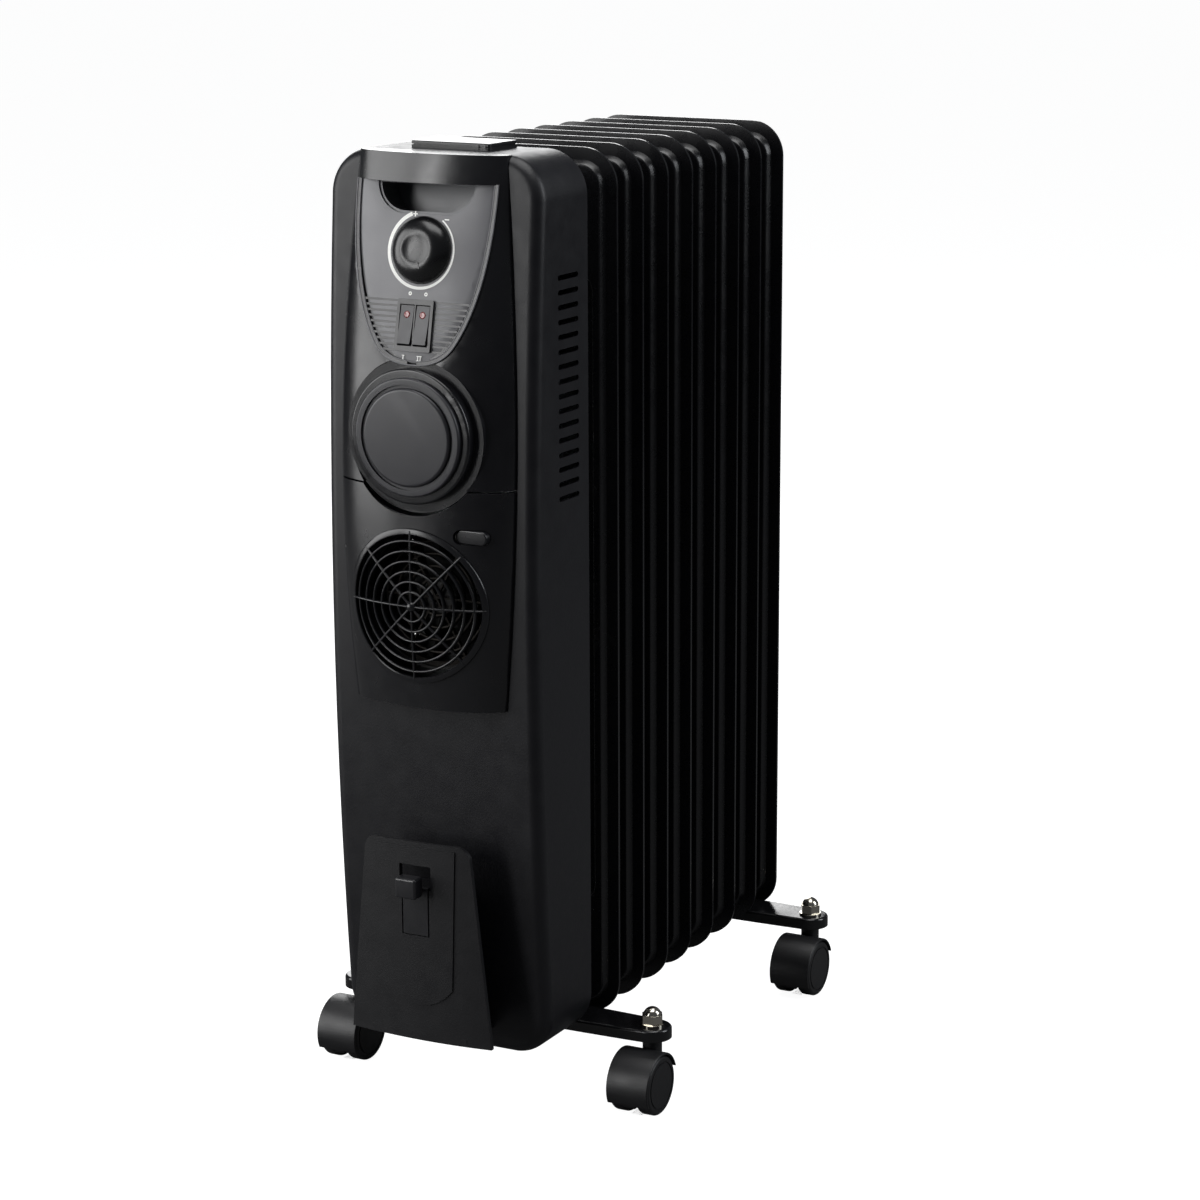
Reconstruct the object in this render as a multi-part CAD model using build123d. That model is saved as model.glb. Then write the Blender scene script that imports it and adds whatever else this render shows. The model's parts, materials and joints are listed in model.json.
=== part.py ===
from build123d import *
from math import asin, atan, cos, degrees, radians, sin, sqrt
import os

# Oil filled radiator heater with a fan-assisted front panel.  Millimetres.
# +X is to the right of someone facing the controls, +Y runs back along the radiator, +Z is up.
# The origin is on the floor under the middle of the whole heater.

# ---- radiator sections -------------------------------------------------------------------
section_count = 8
section_width = 152.0
section_height = 580.0
section_corner = 24.0
section_pitch = 35.6
section_depth = 11.0            # over the pressed oil channels
sheet = 1.0                     # steel of each pressed half
rim_width = 7.5                 # flat welded rim outside the oil space
channel_slope = 28.0            # draft of the pressed walls, degrees
header_inset = 44.0             # header axis above the bottom (and below the top) of a section
header_radius = 17.0
header_bore = 13.5
underside_gap = 8.0             # top of the wheels to the bottom of the sections

# ---- front casing ------------------------------------------------------------------------
casing_width = 152.0
casing_height = 580.0
casing_lift = 2.0               # casing's bottom above the sections' bottom
casing_depth = 70.0
casing_corner = 28.0
casing_round = 8.0              # rounded front edge
casing_bow = 13.0               # how far the front bulges between top and bottom
casing_wall = 1.5
casing_gap = 40.0               # first section's middle to the casing's rear edge
shield_recess = 4.0
shield_thickness = 1.2
carrier_setback = 18.0          # inner panel behind the crown of the bowed front
carrier_thickness = 1.5
vent_count = 16
vent_length = 26.0
vent_height = 3.4
vent_pitch = 9.25
vent_top = 504.6                # top vent above the casing's bottom

# ---- fascia ------------------------------------------------------------------------------
fascia_wall = 2.5
fascia_gap = 0.25               # between fascia and casing cut-out
split_height = 375.5            # joint between upper and lower fascia, above the casing's bottom
split_gap = 1.2
plaque_tilt = 11.6              # lean of the control plaque, degrees
plaque_top = 562.5              # top of the plaque above the casing's bottom
plaque_drop = 11.3              # plaque's top edge behind the fascia's crown line
plaque_thickness = 1.2
knob_height = 521.0             # knob axis above the casing's bottom
knob_radius = 21.0
knob_length = 12.5
shaft_radius = 3.0
pointer_turn = 18.0             # from straight down, at rest
switch_height = 475.5           # switch above the casing's bottom
switch_width = 25.5
switch_length = 32.0
cup_half_width = 35.0
cup_drop = 20.5
cup_depth = 20.0
boss_height = 407.7             # round blank above the casing's bottom
boss_radius = 42.5
collar_radius = 48.6
disc_radius = 37.2

# ---- fan ---------------------------------------------------------------------------------
fan_height = 300.5              # fan axis above the casing's bottom
grille_radius = 49.8
grille_rings = 7
grille_spokes = 8
fan_radius = 42.0
button_width = 22.0
button_height = 9.0

# ---- cord tidy ---------------------------------------------------------------------------
tidy_bottom = 14.0              # above the casing's bottom
tidy_height = 133.0
tidy_top_width = 76.0
tidy_bottom_width = 104.0
tidy_reach = 24.0               # plate's face in front of the casing's crown
tidy_thickness = 3.0
tidy_sagitta = 4.0
panel_top_width = 57.4          # raised panel on the plate
panel_bottom_width = 51.6
panel_foot = 37.0
panel_rise = 0.9
clip_reach = 13.3               # clip's face in front of the plate's face

# ---- feet --------------------------------------------------------------------------------
castor_spread = 112.0           # castor axis from the middle plane
bracket_round = 13.0
bracket_drop = 8.0
bracket_sheet = 2.0
castor_trail = 15.5
wheel_radius = 20.0
wheel_width = 10.5
web_half = 4.0
running_fit = 0.05
moving_gap = 0.3

# ---- derived positions -------------------------------------------------------------------
ground_gap = 2 * wheel_radius + underside_gap
casing_bottom = ground_gap + casing_lift
front_reach = casing_gap + casing_depth + tidy_reach + clip_reach
rear_boss = section_depth / 2 + 4.3
rear_reach = (section_count - 1) * section_pitch + rear_boss
y_first = (front_reach - rear_reach) / 2
y_rear = y_first - casing_gap
y_crown = y_rear - casing_depth
y_seat = y_crown + carrier_setback
z_mid = casing_bottom + casing_height / 2
z_top = casing_bottom + casing_height
z_low = ground_gap + header_inset
z_high = ground_gap + section_height - header_inset
bow_radius = ((casing_height / 2) ** 2 + casing_bow ** 2) / (2 * casing_bow)
z_plate = ground_gap + rim_width - 0.5
z_under = z_plate - bracket_sheet
y_feet = (y_first - casing_gap / 2 - 2.0, y_first + (section_count - 1.5) * section_pitch)
z_split = casing_bottom + split_height
z_boss = casing_bottom + boss_height
z_fan = casing_bottom + fan_height


def at_height(z, y=0.0, x=0.0):
    """Sketch plane facing forward (-Y) with its own Y pointing up."""
    return Plane(origin=(x, y, z), x_dir=(1, 0, 0), z_dir=(0, -1, 0))


def rod(radius, y_front, y_back, z, x=0.0):
    """Round bar lying along Y."""
    return extrude(at_height(z, y_back, x) * Circle(radius), y_back - y_front)


def block(x_size, y_front, y_back, z_bottom, z_head, x=0.0):
    """Box given by its width, its front and back, and its bottom and top."""
    middle = Pos(x, (y_front + y_back) / 2, (z_bottom + z_head) / 2)
    return middle * Box(x_size, y_back - y_front, z_head - z_bottom)


def save(shape, node):
    shape.label = node
    export_step(shape, "parts/" + node + ".step")


def group(solids):
    return Compound(children=list(solids))


# ---- radiator sections -------------------------------------------------------------------
recess_half = (section_height - 160.0) / 2
recess_side = (section_width / 2 - 30.0, 24.0)
recess_middle = (0.0, 22.0)


def recesses(grow):
    """Tall welded-down areas that leave four oil channels between them."""
    shapes = Sketch()
    for centre, width in (recess_side, (-recess_side[0], recess_side[1]), recess_middle):
        shapes += Pos(centre, 0) * SlotOverall(2 * recess_half + 2 * grow, width + 2 * grow, rotation=90)
    return shapes


def pressed(inset, height):
    """One pressed half from the middle plane forward; inset turns it into the oil space."""
    z = ground_gap + section_height / 2
    foot = at_height(z, 0.0)
    shell = section_corner - rim_width - inset
    panel = RectangleRounded(section_width - 2 * rim_width - 2 * inset,
                             section_height - 2 * rim_width - 2 * inset, shell)
    raised = extrude(foot * panel, height, taper=channel_slope)
    sunk = extrude(at_height(z, -sheet + inset) * recesses(inset), height, taper=-channel_slope)
    return raised - sunk


def hub(length, z):
    """Header stub on one face of a section: a flare that runs into a tube."""
    skin = section_depth / 2
    flare = Pos(0, -(skin + 1.5), z) * Rot(90, 0, 0) * Cone(header_radius + 7, header_radius, 5.0)
    return rod(header_radius, -length, 0, z) + flare


def half_section(reach, closed):
    """Front half of a section; reach and closed describe its two header stubs."""
    z = ground_gap + section_height / 2
    rim = RectangleRounded(section_width, section_height, section_corner)
    body = extrude(at_height(z) * rim, sheet)
    solid = pressed(0.0, section_depth / 2)
    crest = solid.faces().sort_by(Axis.Y)[0].edges()
    body += fillet(crest, 1.6)
    oil = pressed(sheet, section_depth / 2 - sheet)
    for z_hub, length, shut in ((z_low, reach[0], closed[0]), (z_high, reach[1], closed[1])):
        body += hub(length, z_hub)
        oil += rod(header_bore, -length + (2.0 if shut else -1.0), 0, z_hub)
    return body - oil


joined = section_pitch / 2
plain_half = half_section((joined, joined), (False, False))
rear_half = half_section((rear_boss, rear_boss), (True, True)).mirror(Plane.XZ)
shield_back = casing_gap + shield_recess
front_half = half_section((shield_back, shield_back), (False, True))
stub_thread = 9.0
for z_hub in (z_low, z_high):
    collar = rod(header_radius - 2.5, -shield_back - stub_thread, -shield_back, z_hub)
    front_half += collar
front_half -= rod(header_bore, -shield_back - stub_thread - 1, 0, z_low)

plain_section = plain_half + plain_half.mirror(Plane.XZ)
first_section = front_half + plain_half.mirror(Plane.XZ)
last_section = plain_half + rear_half


def section_y(index):
    return y_first + index * section_pitch


# ---- immersion heating element ------------------------------------------------------------
def heating_element():
    """Screwed plug with a hairpin tube running back through the lower header."""
    face = y_first - shield_back - stub_thread
    plug = extrude(at_height(z_low, face) * RegularPolygon(17.0, 6), 7.0)
    plug = fillet(plug.faces().sort_by(Axis.Y)[0].edges(), 1.2)
    body = plug + rod(header_bore - 0.1, face, face + 12, z_low)
    far = y_first + (section_count - 1) * section_pitch - 8
    tube = 3.6
    offset = 7.0
    path = Polyline((offset, face + 10, z_low), (offset, far, z_low))
    path += CenterArc((0, far, z_low), offset, 0, 180)
    path += Line((-offset, far, z_low), (-offset, face + 10, z_low))
    start = Plane(origin=(offset, face + 10, z_low), z_dir=(0, 1, 0)) * Circle(tube)
    body += sweep(start, path)
    for x in (-offset, offset):
        body += rod(1.6, face - 17, face - 6, z_low, x)
        body += block(6.3, face - 22, face - 15, z_low - 0.4, z_low + 0.4, x)
    return body


# ---- front casing ------------------------------------------------------------------------
def casing_block(inset, behind=0.0):
    """Bowed, rounded box the casing is pressed from."""
    outline = RectangleRounded(casing_width - 2 * inset, casing_height - 2 * inset, casing_corner - inset)
    solid = extrude(at_height(z_mid, y_rear + behind) * outline, casing_depth + 1.0 + behind)
    bow = Pos(0, y_crown + bow_radius, z_mid) * Rot(0, 90, 0) * Cylinder(bow_radius - inset, casing_width)
    solid = solid & bow
    return fillet(solid.faces().sort_by(Axis.Y)[0].edges(), casing_round - inset)


# The fascia is a barrel: its width and its front follow smooth curves over its height.
def fascia_half_width(z):
    """Half width of the fascia, waisted toward the top and bottom."""
    t = (z - z_split - 25.0) / (z_top - z_split - 25.0)
    if t >= 0:
        return casing_width * (0.412 - 0.068 * t ** 1.7)
    return casing_width * (0.412 - 0.046 * (t * 1.15) ** 2)


def fascia_crown(z):
    """Front of the fascia on the middle plane."""
    t = (z - z_fan - 25.0) / (z_top - z_fan - 25.0)
    rise, dip = max(t, 0.0), min(t, 0.0)
    return y_crown - (22.5 - 15.0 * rise ** 1.5 - 7.5 * rise ** 8 - 35.0 * dip ** 2)


def fascia_edge(z):
    """Front of the fascia's side edges."""
    bow = sqrt(bow_radius ** 2 - (z - z_mid) ** 2) - bow_radius
    return y_crown - bow + 2.5


def fascia_plan(z, grow):
    """Closed plan section of the fascia at one height."""
    half = fascia_half_width(z) + grow
    crown = fascia_crown(z) - grow
    edge = fascia_edge(z) - grow
    points = []
    for share in (-1.0, -0.94, -0.8, -0.5, 0.0, 0.5, 0.8, 0.94, 1.0):
        fall = 1 - sqrt(1 - 0.97 * share ** 2)
        points.append((share * half, crown + (edge - crown) * fall, z))
    left, right = points[0], points[-1]
    back = y_seat + (1.0 if grow < 0 else 0.0)
    back_left, back_right = (left[0], back, z), (right[0], back, z)
    edges = [Spline(*points), Line(right, back_right), Line(back_right, back_left), Line(back_left, left)]
    return Face(Wire(edges))


def fascia_block(grow):
    """Solid envelope of both fascia mouldings; grow thickens or thins it all round."""
    low = casing_bottom + 234.0 - grow
    high = z_top + min(grow, 0.25)
    steps = 9
    levels = [low + (high - low) * i / steps for i in range(steps + 1)]
    return loft([fascia_plan(z, grow) for z in levels])



casing = casing_block(0.0) - casing_block(casing_wall, behind=1.0) - fascia_block(fascia_gap)

y_shield = y_rear - shield_recess
vent_y = y_rear - 25.6
cuts = []
for i in range(vent_count):
    z = casing_bottom + vent_top - i * vent_pitch
    side = Plane(origin=(0, vent_y, z), x_dir=(0, 1, 0), z_dir=(1, 0, 0))
    cuts.append(extrude(side * SlotOverall(vent_length, vent_height), casing_width, both=True))
casing -= cuts

# lugs that take the shield's screws
lug_z = (casing_bottom + 60.0, z_mid, z_top - 60.0)
lug_x = casing_width / 2 - casing_wall - 5.0
lugs = []
for x in (-lug_x, lug_x):
    for z in lug_z:
        lug = block(10.0, y_shield - shield_thickness - 10.0, y_shield - shield_thickness, z - 5, z + 5, x)
        lugs.append(lug - rod(1.65, y_shield - 14, y_shield, z, x))
casing += lugs

gland_z = casing_bottom + 55.0
gland_y = y_rear - 30.0
gland_axis = Pos(-casing_width / 2, gland_y, gland_z) * Rot(0, -90, 0)
casing -= gland_axis * Cylinder(7.5, 12)

# ---- rear shield and carrier panel --------------------------------------------------------
inner = (casing_width - 2 * casing_wall, casing_height - 2 * casing_wall, casing_corner - casing_wall)
heat_shield = extrude(at_height(z_mid, y_shield) * RectangleRounded(*inner), shield_thickness)
for z in (z_low, z_high):
    heat_shield -= rod(header_radius - 2.4, y_shield - 5, y_shield + 5, z)
for x in (-lug_x, lug_x):
    for z in lug_z:
        heat_shield -= rod(1.65, y_shield - 14, y_shield + 2, z, x)
louvres = []
for side in (-1, 1):
    for i in range(7):
        z = z_mid - 90 + i * 30
        louvres.append(Pos(side * 34, y_shield, z) * Rot(90, 0, 0) * extrude(SlotOverall(40, 4), 6, both=True))
heat_shield -= louvres

carrier_panel = extrude(at_height(z_mid, y_seat + carrier_thickness) * RectangleRounded(*inner), carrier_thickness)
carrier_foot = z_fan - 80.0
carrier_panel -= block(casing_width, y_seat - 5, y_seat + 10, 0, carrier_foot)
z_plaque = casing_bottom + plaque_top
carrier_panel -= block(84.0, y_seat - 5, y_seat + 10, z_boss + 28, z_plaque + 12)
carrier_panel -= rod(fan_radius + 2.5, y_seat - 5, y_seat + 5, z_fan)
carrier_panel &= casing_block(casing_wall, behind=1.0)

# ---- control plaque plane -----------------------------------------------------------------
tilt = radians(plaque_tilt)
y_plaque = fascia_crown(z_plaque) + plaque_drop
plaque_plane = Plane(origin=(0, y_plaque, z_plaque), x_dir=(1, 0, 0), z_dir=(0, -cos(tilt), sin(tilt)))


def on_plaque(x, z, lift=0.0):
    """Frame on the plaque's plane at a height z, lifted clear of it along its normal."""
    return plaque_plane * Pos(x, (z - z_plaque) / cos(tilt), lift)


def slab(front, back, rise=0.0):
    """Layer between two offsets of the plaque's plane, up to the band or a little above it."""
    depth = front - back
    return plaque_plane * Pos(0, rise - 150, (front + back) / 2) * Box(casing_width, 300, depth)


def below_band(shape):
    return shape - block(casing_width, y_crown - 100, y_seat, z_plaque, z_top + 20)


# ---- upper fascia -------------------------------------------------------------------------
solid = fascia_block(0.0)
hollow = fascia_block(-fascia_wall)
facet = below_band(slab(60.0, 0.0, 5.0))
facet_inner = slab(60.0, -fascia_wall, fascia_wall)

split_low = z_split - split_gap / 2
split_high = z_split + split_gap / 2
collar_y = y_crown - 14.5
boss_y = y_crown - 21.5
above = block(casing_width, y_crown - 60, y_seat + 5, split_high, z_top + 5)
above += rod(collar_radius, y_crown - 60, y_seat + 5, z_boss)
boss = rod(boss_radius, boss_y, y_seat, z_boss)
boss = fillet(boss.faces().sort_by(Axis.Y)[0].edges(), 1.5)
outer = (solid - facet) & above
outer -= rod(collar_radius, y_crown - 80, collar_y, z_boss)
outer += rod(collar_radius, collar_y, y_seat, z_boss)
outer += boss
cavity = hollow - facet_inner
cavity -= rod(collar_radius + 1.0, y_crown - 80, collar_y + fascia_wall, z_boss)
cavity &= block(casing_width, y_crown - 60, y_seat + 5, z_boss - collar_radius + fascia_wall, z_top + 5)
upper_fascia = outer - cavity
upper_fascia -= rod(boss_radius - fascia_wall, boss_y + fascia_wall, y_seat + 5, z_boss)
upper_fascia -= rod(disc_radius - 4.0, boss_y - 5, y_seat, z_boss)

# half-moon finger opening under the band
cup_outline = (SlotOverall(2 * cup_half_width, 2 * cup_drop - 0.5) & Pos(0, -25) * Rectangle(200, 50))
cup_mouth = plaque_plane * extrude(cup_outline, 6.0, both=True)
upper_fascia -= cup_mouth

# ---- finger cup ---------------------------------------------------------------------------
cup_rise = 9.0
cup_shape = cup_outline + Pos(0, cup_rise / 2) * Rectangle(2 * cup_half_width, cup_rise)
cup_wall = 1.6
cup_inner_shape = offset(cup_outline, -cup_wall) + Pos(0, 2) * Rectangle(2 * cup_half_width - 2 * cup_wall, 2 * cup_rise - 7)
cup_back = -fascia_wall - 0.02
cup_outer = plaque_plane * Pos(0, 0, cup_back) * extrude(cup_shape, -cup_depth)
cup_inner = plaque_plane * Pos(0, 0, cup_back + 1) * extrude(cup_inner_shape, -cup_depth + cup_wall - 1)
cup_room = hollow + block(2 * cup_half_width + 4, y_seat - 1, y_seat + 15, z_boss + 50, z_top - 4)
handle_cup = (cup_outer - cup_inner) & cup_room
handle_cup += plaque_plane * Pos(0, 0, cup_back) * extrude(cup_outline - offset(cup_outline, -cup_wall), fascia_wall)

# ---- plaque -------------------------------------------------------------------------------
plate = below_band(slab(plaque_thickness, 0.0) & fascia_block(-1.2))
z_knob = casing_bottom + knob_height
z_switch = casing_bottom + switch_height
plate -= cup_mouth
plate -= on_plaque(0, z_knob) * Cylinder(knob_radius * 0.42, 20)
plate -= on_plaque(0, z_switch) * Box(switch_width - 2.5, switch_length - 2.5, 20)
plaque = plate - rod(boss_radius + 0.3, boss_y - 20, y_seat, z_boss)
hole_fit = shaft_radius + 0.4
upper_fascia -= on_plaque(0, z_knob) * Cylinder(hole_fit + 3.0, 16)
upper_fascia -= on_plaque(0, z_switch) * Box(switch_width - 2.5, switch_length - 2.5, 20)

# ---- thermostat ---------------------------------------------------------------------------
knob_foot = plaque_thickness + moving_gap + 0.1
dish_radius = knob_radius * 0.56
lip = knob_length - 0.6
side_line = Spline((knob_radius, 2.5), (knob_radius * 0.9, lip * 0.62), (dish_radius + 2.0, lip),
                   tangents=((0, 1), (-1, 0.1)))
dish_line = Spline((dish_radius + 2.0, lip), (dish_radius, lip - 1.0), (dish_radius * 0.5, lip - 4.6), (0, lip - 5.4),
                   tangents=((-1, 0.1), (-1, 0)))
knob_half = make_face([Line((0, 0), (knob_radius - 0.5, 0)), Line((knob_radius - 0.5, 0), (knob_radius, 0.6)),
                       Line((knob_radius, 0.6), (knob_radius, 2.5)), side_line, dish_line,
                       Line((0, lip - 5.4), (0, 0))])
knob = on_plaque(0, z_knob, knob_foot) * revolve(Plane.XZ * knob_half, Axis.Z)
pointer = on_plaque(0, z_knob, knob_foot + lip - 1.6) * Rot(0, 0, pointer_turn)
knob += pointer * Pos(0, -dish_radius - 1.0, 0) * Box(1.2, 4.4, 3.4)
knob -= on_plaque(0, z_knob, knob_foot) * Cylinder(shaft_radius, 11)
thermostat_shaft = on_plaque(0, z_knob, knob_foot + 5.5) * extrude(Circle(shaft_radius), -21.5)
body_face = -fascia_wall
thermostat_body = on_plaque(0, z_knob, body_face) * extrude(RectangleRounded(44, 30, 3), -16.0)
thermostat_body += on_plaque(0, z_knob, body_face - 1) * extrude(Circle(hole_fit + 2.5), fascia_wall + 1)
thermostat_body -= on_plaque(0, z_knob, body_face - 14.6) * extrude(Circle(shaft_radius + running_fit), 30)
for x in (-12.0, 12.0):
    thermostat_body += on_plaque(x, z_knob, body_face - 15) * extrude(Rectangle(6.3, 0.8), -9)

# ---- rocker switch ------------------------------------------------------------------------
rocker_width = (switch_width - 6.0) / 2
rocker_length = switch_length - 7.0
rocker_x = rocker_width / 2 + 0.7
rocker_pivot = -1.0
frame_height = 1.8
sw = plaque_thickness
switch_body = on_plaque(0, z_switch, sw) * extrude(RectangleRounded(switch_width, switch_length, 1.0), frame_height)
switch_body += on_plaque(0, z_switch, sw) * extrude(Rectangle(switch_width - 2.6, switch_length - 2.6), -22)
for side in (-1, 1):
    well = Rectangle(rocker_width + 2 * moving_gap, rocker_length + 2 * moving_gap)
    switch_body -= on_plaque(side * rocker_x, z_switch, sw + frame_height) * extrude(well, -15)
    for z in (-9.0, 0.0, 9.0):
        switch_body += on_plaque(side * rocker_x, z_switch + z, sw - 21) * extrude(Rectangle(0.8, 4.8), -8)


def rocker(side):
    """Rocker with a tilted face; its upper end is pressed in at rest."""
    half = rocker_length / 2 - 0.25
    profile = Polyline((-half, 3.6), (0, 2.0), (half, 1.2), (half, -2.2), (3, -6.5), (-3, -6.5), (-half, -2.2),
                       close=True)
    face = make_face(profile)
    frame = on_plaque(side * rocker_x, z_switch, sw)
    upright = frame * Pos(-(rocker_width - 0.5) / 2, 0, 0) * Rot(0, 90, 0) * Rot(0, 0, 90)
    swing = frame * Pos(0, 0, rocker_pivot) * Rot(0, 90, 0) * Cylinder(rocker_length / 2, rocker_width)
    return upright * extrude(face, rocker_width - 0.5) & swing


lamp_offset = 6.4
rocker_left = rocker(-1)
rocker_right = rocker(1)
lamp_seat = -0.6
lamps = []
for side in (-1, 1):
    spot = on_plaque(side * rocker_x, z_switch + lamp_offset, sw + lamp_seat)
    lens = spot * extrude(Circle(2.2), 2.4)
    lamps.append(fillet(lens.edges().sort_by(Axis.Y)[0], 0.7))
rocker_left -= on_plaque(-rocker_x, z_switch + lamp_offset, sw + lamp_seat) * extrude(Circle(2.2), 6)
rocker_right -= on_plaque(rocker_x, z_switch + lamp_offset, sw + lamp_seat) * extrude(Circle(2.2), 6)

# ---- round blank --------------------------------------------------------------------------
disc_lift = 3.4
disc = rod(disc_radius, boss_y - disc_lift, boss_y, z_boss)
disc = fillet(disc.faces().sort_by(Axis.Y)[0].edges(), 1.2)
disc -= rod(disc_radius - 4.2, boss_y - disc_lift - 1, boss_y - disc_lift + 1.4, z_boss)
cap = rod(disc_radius - 6.2, boss_y - disc_lift - 1.2, boss_y - 1, z_boss)
disc += fillet(cap.faces().sort_by(Axis.Y)[0].edges(), 2.0)
disc += rod(disc_radius - 4.0, boss_y - 0.5, boss_y + 4.0, z_boss) - rod(disc_radius - 6.0, boss_y + 1, boss_y + 5, z_boss)
timer_blank = disc

# ---- lower fascia and grille --------------------------------------------------------------
below = block(casing_width, y_crown - 60, y_seat + 5, 0, split_low)
below -= rod(collar_radius + split_gap, y_crown - 80, y_seat + 10, z_boss)
lower_fascia = (solid - hollow) & below
lower_fascia -= rod(grille_radius, y_crown - 60, y_seat, z_fan)

dome = (fascia_block(1.6) - fascia_block(-1.6)) & rod(grille_radius, y_crown - 60, y_seat, z_fan)
dome -= block(casing_width, y_seat - 3, y_seat + 10, 0, z_top)
web = 1.7
pitch = (grille_radius - 4.0) / grille_rings
sector = 360 / grille_spokes
windows = Sketch()
for ring in range(grille_rings):
    near = 3.0 + ring * pitch if ring else 3.0
    far = 3.0 + (ring + 1) * pitch - web
    band = Circle(far) - Circle(near)
    for spoke in range(grille_spokes):
        bars = Rot(0, 0, spoke * sector) * Pos(40, 0) * Rectangle(80, web)
        band -= bars
    windows += band
dome -= at_height(z_fan, y_seat) * extrude(windows, 80)
fan_grille = dome

button_x = 40.0
button_z = z_fan + 46.5
button_y = fascia_crown(button_z) + 7.0
hole = at_height(button_z, y_seat - 6, button_x) * SlotOverall(button_width + 2 * moving_gap, button_height + 2 * moving_gap)
lower_fascia -= extrude(hole, 60)
button = at_height(button_z, button_y + 9.5, button_x) * SlotOverall(button_width, button_height)
fan_button = extrude(button, 11.0)
fan_button = fillet(fan_button.faces().sort_by(Axis.Y)[0].edges(), 1.0)
flange = at_height(button_z, button_y + 12.5, button_x) * SlotOverall(button_width - 4, button_height - 3)
fan_button += extrude(flange, 4.0)

# ---- fan ----------------------------------------------------------------------------------
duct_front = y_seat - 15.0
fan_duct = rod(fan_radius + 4.0, duct_front, y_seat, z_fan) - rod(fan_radius + 2.5, duct_front - 1, y_seat + 1, z_fan)
coil_y = duct_front + 3.5
coil_heater = rod(fan_radius + 2.5, coil_y, coil_y + 3.0, z_fan) - rod(fan_radius - 0.5, coil_y - 1, coil_y + 5, z_fan)
for spoke in range(3):
    bar = Box(2 * fan_radius + 2, 3.0, 1.2)
    coil_heater += Pos(0, coil_y + 1.5, z_fan) * Rot(0, spoke * 60, 0) * bar
for radius in (12.0, 20.0, 28.0, 36.0):
    coil_heater += Pos(0, coil_y + 1.5, z_fan) * Rot(90, 0, 0) * Torus(radius, 1.3)
hub_radius = 13.0
blade_front = coil_y + 4.5
blade_back = y_seat - 1.5
impeller = rod(hub_radius, blade_front, blade_back, z_fan)
impeller = fillet(impeller.faces().sort_by(Axis.Y)[0].edges(), 2.0)
for blade in range(7):
    vane = Pos(0, (blade_front + blade_back) / 2, z_fan) * Rot(0, blade * 360 / 7, 0)
    reach = fan_radius - 0.5 - hub_radius + 3
    vane = vane * Pos(hub_radius - 3 + reach / 2, 0, 0) * Rot(35, 0, 0) * Box(reach, 1.2, 9.5)
    impeller += vane & rod(fan_radius, blade_front - 1, blade_back, z_fan)
motor_front = y_seat + carrier_thickness + 2.0
impeller += rod(2.0, blade_back - 2, motor_front + 18, z_fan)
fan_motor = rod(23.0, motor_front, motor_front + 22, z_fan)
fan_motor = fillet(fan_motor.faces().sort_by(Axis.Y)[-1].edges(), 3.0)
for arm in range(3):
    strap = Pos(0, motor_front + 1.0, z_fan) * Rot(0, 90 + arm * 120, 0) * Pos(36, 0, 0) * Box(34, 2.0, 8)
    foot = Pos(0, motor_front - 1.0, z_fan) * Rot(0, 90 + arm * 120, 0) * Pos(49, 0, 0) * Box(8, 2.0, 8)
    fan_motor += strap + foot
fan_motor -= rod(2.0 + running_fit, motor_front - 5, motor_front + 19, z_fan)

# ---- cord tidy ----------------------------------------------------------------------------
y_plate = y_crown - tidy_reach
tidy_low = casing_bottom + tidy_bottom
tidy_top = tidy_low + tidy_height
plate_radius = ((tidy_bottom_width / 2) ** 2 + tidy_sagitta ** 2) / (2 * tidy_sagitta)
corners = [(-tidy_bottom_width / 2, 0), (tidy_bottom_width / 2, 0),
           (tidy_top_width / 2, tidy_height), (-tidy_top_width / 2, tidy_height)]
trapezoid = make_face(Polyline(*corners, close=True))
top_corners = trapezoid.vertices().sort_by(Axis.Y)[-2:]
trapezoid = fillet(top_corners, 9.0)
prism = at_height(tidy_low, y_plate + 20) * extrude(trapezoid, 24)
arc_centre = Pos(0, y_plate + plate_radius, tidy_low + tidy_height / 2)
curve = arc_centre * (Cylinder(plate_radius, tidy_height + 10) - Cylinder(plate_radius - tidy_thickness, tidy_height + 12))
cord_tidy = prism & curve
panel_half_top = panel_top_width / 2
panel_half_low = panel_bottom_width / 2
panel_face = make_face([Line((-panel_half_top, tidy_height - 3), (panel_half_top, tidy_height - 3)),
                        Line((panel_half_top, tidy_height - 3), (panel_half_low, panel_foot)),
                        ThreePointArc((panel_half_low, panel_foot), (0, panel_foot - 13), (-panel_half_low, panel_foot)),
                        Line((-panel_half_low, panel_foot), (-panel_half_top, tidy_height - 3))])
skin = arc_centre * (Cylinder(plate_radius + panel_rise, tidy_height + 10)
                     - Cylinder(plate_radius - 1.5, tidy_height + 12))
cord_tidy += (at_height(tidy_low, y_plate + 20) * extrude(panel_face, 26)) & skin
core = block(50.0, y_plate + tidy_thickness - 0.6, y_crown + 12, tidy_low + 14, tidy_top - 34)
core = fillet(core.edges().filter_by(Axis.Y), 10.0)
core -= block(44.0, y_plate + tidy_thickness + 2.5, y_crown + 20, tidy_low + 17, tidy_top - 37)
core -= casing_block(0.0)
cord_tidy += core
tidy_ledge = block(70.0, y_plate + 1.5, y_crown + 12, tidy_low + 2, tidy_low + 5)
cord_tidy += tidy_ledge - casing_block(0.0)

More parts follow.
